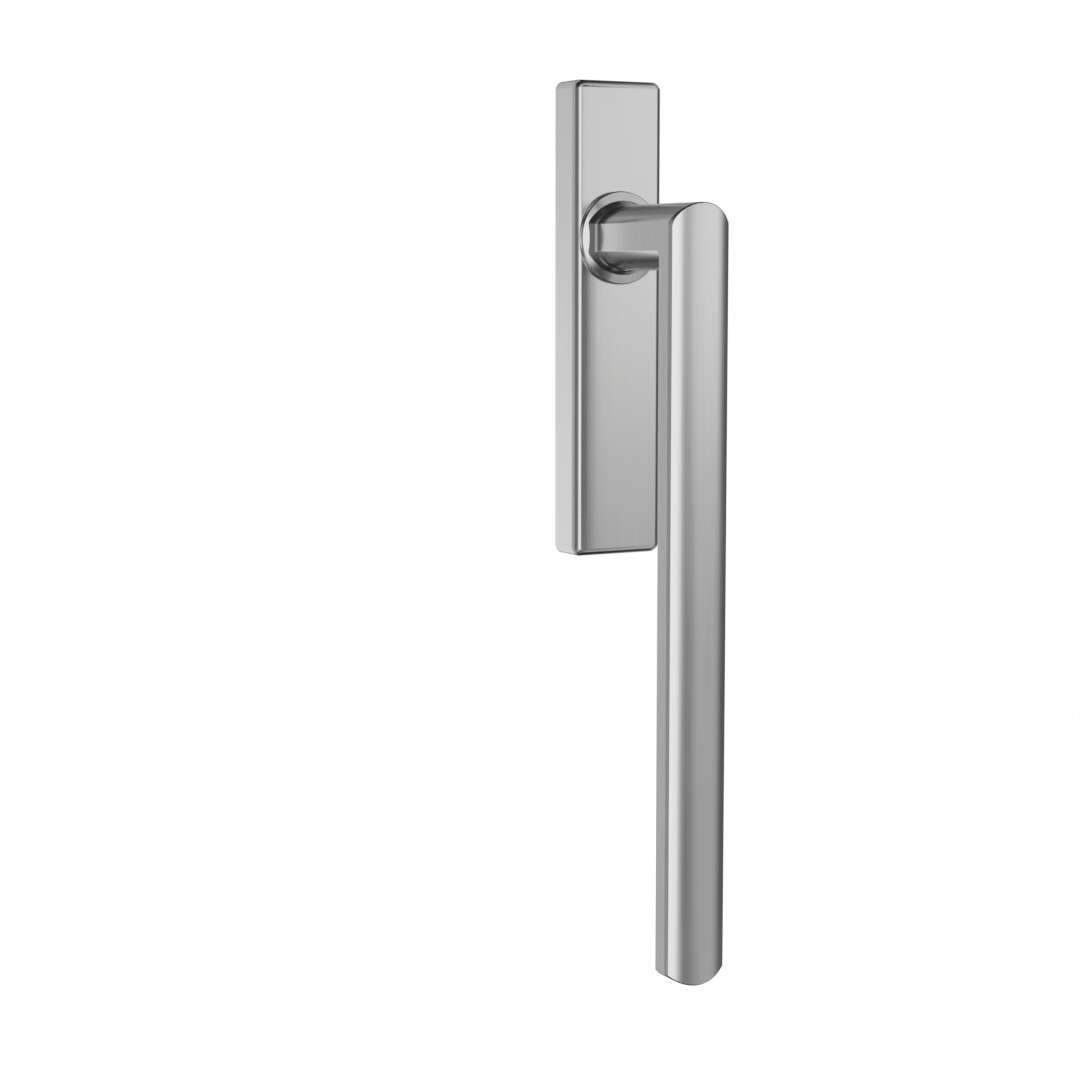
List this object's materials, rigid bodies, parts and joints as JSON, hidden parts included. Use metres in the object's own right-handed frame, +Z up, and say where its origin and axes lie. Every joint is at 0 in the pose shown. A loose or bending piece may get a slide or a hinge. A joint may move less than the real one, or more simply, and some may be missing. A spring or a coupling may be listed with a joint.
{
  "type": "sliding door handle",
  "caption": "Long hanging lever on a box-shaped cover plate, with a flared collar and a square spindle, that turns to lift a heavy sliding door so it can be pulled along.",
  "frame": {"origin": "where the axis of the square spindle meets the door face", "axes": "+Y into the door along the spindle, -Y out to the grip, +Z up, so the lever hangs along -Z"},
  "size_m": [0.038, 0.0979, 0.335],
  "materials": {
    "lever_steel": "satin, brushed along the grip",
    "collar_steel": "satin, turned",
    "cover_steel": "satin, brushed upright",
    "guide_plastic": "moulded",
    "bearing_plastic": "moulded",
    "base_casting": "as cast",
    "hardened_steel": "hardened, ground",
    "spring_steel": "rolled, blued",
    "plated_steel": "bright zinc plated",
    "black_steel": "blackened"
  },
  "bodies": {
    "base": {"base_plate": "base_casting", "cover_plate": "cover_steel", "neck_guide": "guide_plastic", "bearing_bush": "bearing_plastic", "detent_spring_left": "spring_steel", "detent_spring_right": "spring_steel", "cover_clip_upper": "spring_steel", "cover_clip_lower": "spring_steel", "fixing_screws": "plated_steel", "fixing_washers": "plated_steel", "support_sleeves": "plated_steel", "chamber_plate": "plated_steel", "chamber_screws": "plated_steel"},
    "handle": {"lever": "lever_steel", "collar_ring": "collar_steel", "spindle": "plated_steel", "spindle_grub_screw": "black_steel", "detent_cam": "hardened_steel", "disc_spring": "spring_steel", "shim_washer": "plated_steel", "retaining_ring": "spring_steel"}
  },
  "joints": [
    {"name": "lever_turn", "type": "hinge", "parent": "base", "child": "handle", "pos_m": [0, 0, 0], "axis": [0, -1, 0], "range_deg": [0, 180], "deforming": ["detent_spring_left", "detent_spring_right"]}
  ]
}
